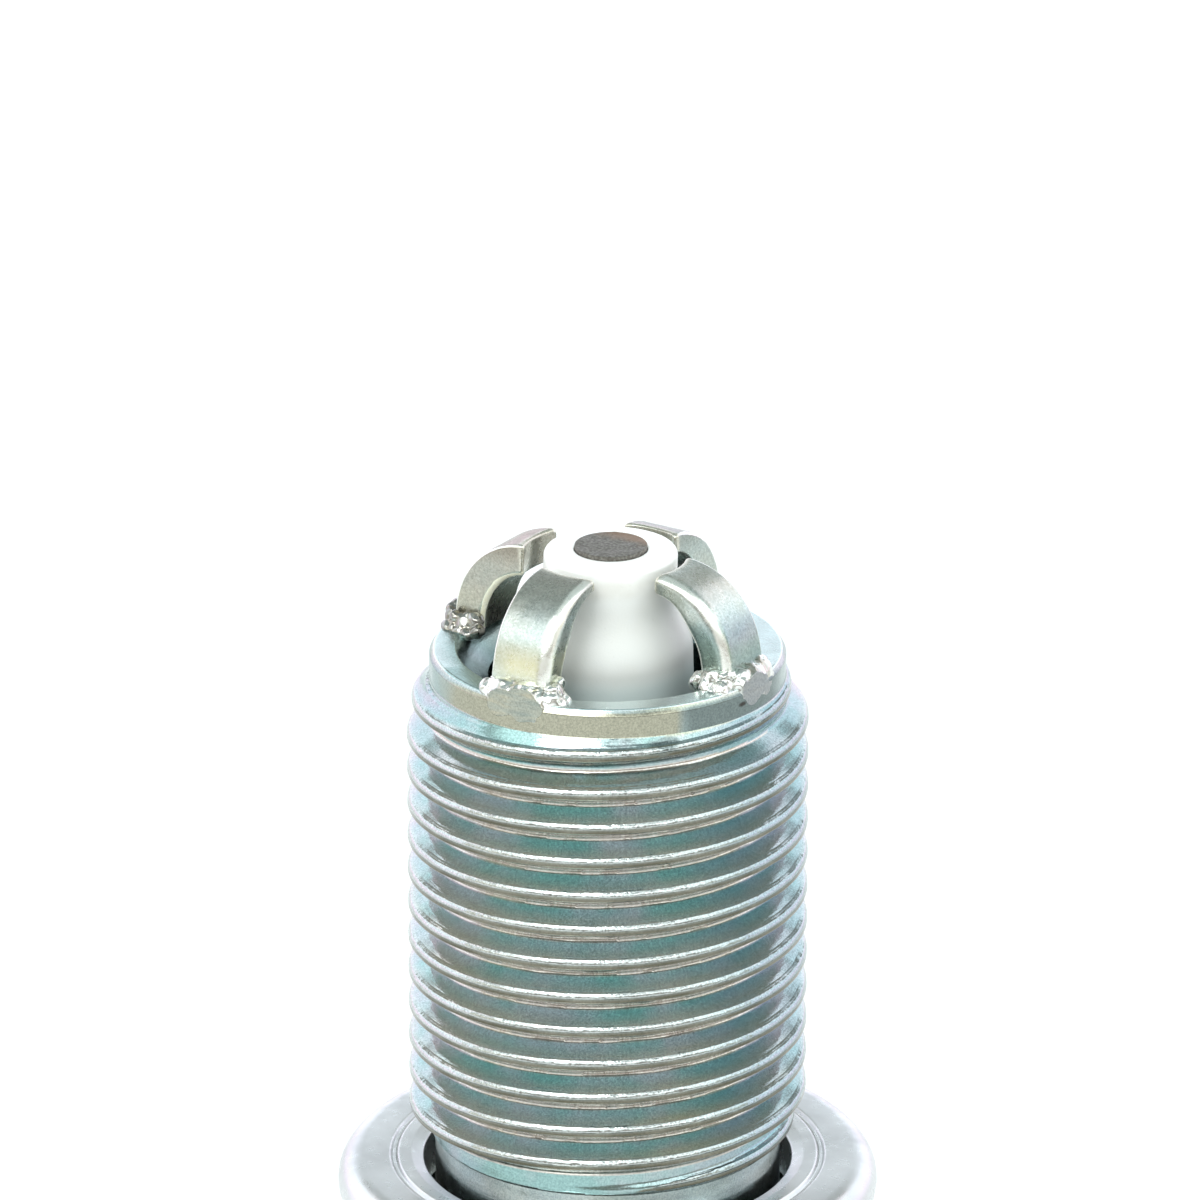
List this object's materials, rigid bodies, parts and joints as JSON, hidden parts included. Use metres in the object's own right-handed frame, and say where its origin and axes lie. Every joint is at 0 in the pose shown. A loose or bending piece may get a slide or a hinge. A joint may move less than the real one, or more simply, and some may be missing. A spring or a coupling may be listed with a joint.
{
  "type": "spark plug",
  "caption": "Motorcycle spark plug with a threaded plated shell, a ring of bent ground electrodes round a thick ceramic nose, a hexagon, a crush gasket and a screw-on terminal nut.",
  "frame": {"origin": "on the plug's axis, in the plane where the gasket's face meets the cylinder head", "axes": "+Z along the axis to the firing end; the ground electrodes stand over -Y, +X, +Y and -X; two flats of the hexagon face +X and -X"},
  "size_m": [0.019, 0.019, 0.0732],
  "materials": {
    "zinc_plate": "bright zinc plate, blue and straw tints",
    "alumina": "fine white ceramic, glazed outside the shell",
    "nickel_dark": "dull nickel alloy, fine speckle",
    "copper": "plain copper",
    "seal_glass": "dark fused glass powder",
    "carbon": "dull black",
    "nickel_steel": "bright nickel plate",
    "gasket_steel": "satin steel",
    "talc": "pressed powder",
    "nickel_strap": "satin nickel alloy, faint green cast",
    "weld": "lumpy bright weld metal"
  },
  "bodies": {
    "plug": {"shell": "zinc_plate", "insulator": "alumina", "center_electrode": "nickel_dark", "center_electrode_core": "copper", "lower_glass_seal": "seal_glass", "resistor": "carbon", "upper_glass_seal": "seal_glass", "terminal_stud": "nickel_steel", "front_packing": "copper", "front_wire_ring": "gasket_steel", "talc_fill": "talc", "rear_wire_ring": "gasket_steel", "ground_electrode_1": "nickel_strap", "ground_electrode_2": "nickel_strap", "ground_electrode_3": "nickel_strap", "ground_electrode_4": "nickel_strap", "ground_weld_1": "weld", "ground_weld_2": "weld", "ground_weld_3": "weld", "ground_weld_4": "weld"},
    "nut": {"terminal_nut": "nickel_steel"},
    "washer": {"gasket": "gasket_steel"}
  },
  "joints": [
    {"name": "nut_travel", "type": "slide", "parent": "plug", "child": "nut", "axis": [0, 0, -1], "range_m": [0, 0.0072]},
    {"name": "gasket_spin", "type": "hinge", "parent": "plug", "child": "washer", "pos_m": [0, 0, -0.001], "axis": [0, 0, 1], "continuous": true}
  ]
}
